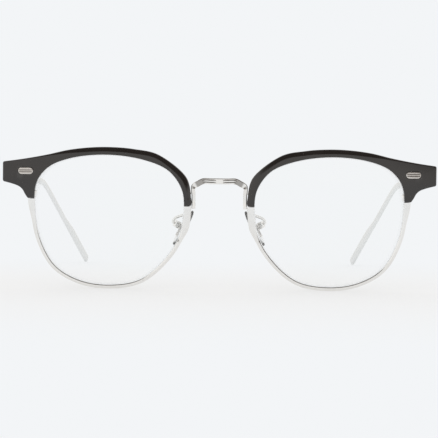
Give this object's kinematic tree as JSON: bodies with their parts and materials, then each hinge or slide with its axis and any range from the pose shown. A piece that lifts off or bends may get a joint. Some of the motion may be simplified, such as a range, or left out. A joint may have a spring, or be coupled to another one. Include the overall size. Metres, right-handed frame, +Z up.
{
  "type": "half rim eyeglasses",
  "caption": "Browline eyeglasses with black brows over slim metal rims, a metal bridge, clear nose pads and folding metal temples.",
  "frame": {"origin": "on the floor, under the middle of the whole object's box, with the temples open", "axes": "+Z up, the front faces -Y, the temples reach towards +Y, +X is the wearer's left"},
  "size_m": [0.1434, 0.1356, 0.0467],
  "materials": {
    "black_acetate": "polished black acetate",
    "plaque_metal": "satin silver",
    "polished_silver": "polished silver",
    "temple_silver": "satin silver",
    "screw_steel": "turned steel",
    "clear_lens": "clear, anti-reflection coated",
    "clear_silicone": "clear soft silicone"
  },
  "bodies": {
    "front": {"left_brow": "black_acetate", "left_brow_plaque": "plaque_metal", "left_rim": "polished_silver", "left_rim_lock_screw": "screw_steel", "left_lens": "clear_lens", "left_brow_nose_screw": "screw_steel", "left_brow_leg_screw": "screw_steel", "left_endpiece": "polished_silver", "left_hinge_front": "polished_silver", "left_hinge_screw": "screw_steel", "left_nose_pad_box": "polished_silver", "left_nose_pad_screw": "screw_steel", "left_nose_pad_arm": "polished_silver", "right_brow": "black_acetate", "right_brow_plaque": "plaque_metal", "right_rim": "polished_silver", "right_rim_lock_screw": "screw_steel", "right_lens": "clear_lens", "right_brow_nose_screw": "screw_steel", "right_brow_leg_screw": "screw_steel", "right_endpiece": "polished_silver", "right_hinge_front": "polished_silver", "right_hinge_screw": "screw_steel", "right_nose_pad_box": "polished_silver", "right_nose_pad_screw": "screw_steel", "right_nose_pad_arm": "polished_silver", "bridge": "polished_silver"},
    "left_temple": {"left_temple": "temple_silver", "left_hinge_rear": "polished_silver"},
    "right_temple": {"right_temple": "temple_silver", "right_hinge_rear": "polished_silver"},
    "left_nose_pad": {"left_nose_pad": "clear_silicone", "left_nose_pad_insert": "screw_steel"},
    "right_nose_pad": {"right_nose_pad": "clear_silicone", "right_nose_pad_insert": "screw_steel"}
  },
  "joints": [
    {"name": "left_temple_fold", "type": "hinge", "parent": "front", "child": "left_temple", "pos_m": [0.06708, -0.05537, 0.03865], "axis": [0, 0, 1], "range_deg": [0, 85]},
    {"name": "right_temple_fold", "type": "hinge", "parent": "front", "child": "right_temple", "pos_m": [-0.06708, -0.05537, 0.03865], "axis": [0, 0, -1], "range_deg": [0, 80]},
    {"name": "left_pad_rock", "type": "hinge", "parent": "front", "child": "left_nose_pad", "pos_m": [0.01364, -0.05749, 0.02123], "axis": [0.1801, 0.9781, 0.104], "range_deg": [-12, 12]},
    {"name": "right_pad_rock", "type": "hinge", "parent": "front", "child": "right_nose_pad", "pos_m": [-0.01364, -0.05749, 0.02123], "axis": [-0.1801, 0.9781, 0.104], "range_deg": [-12, 12]}
  ]
}
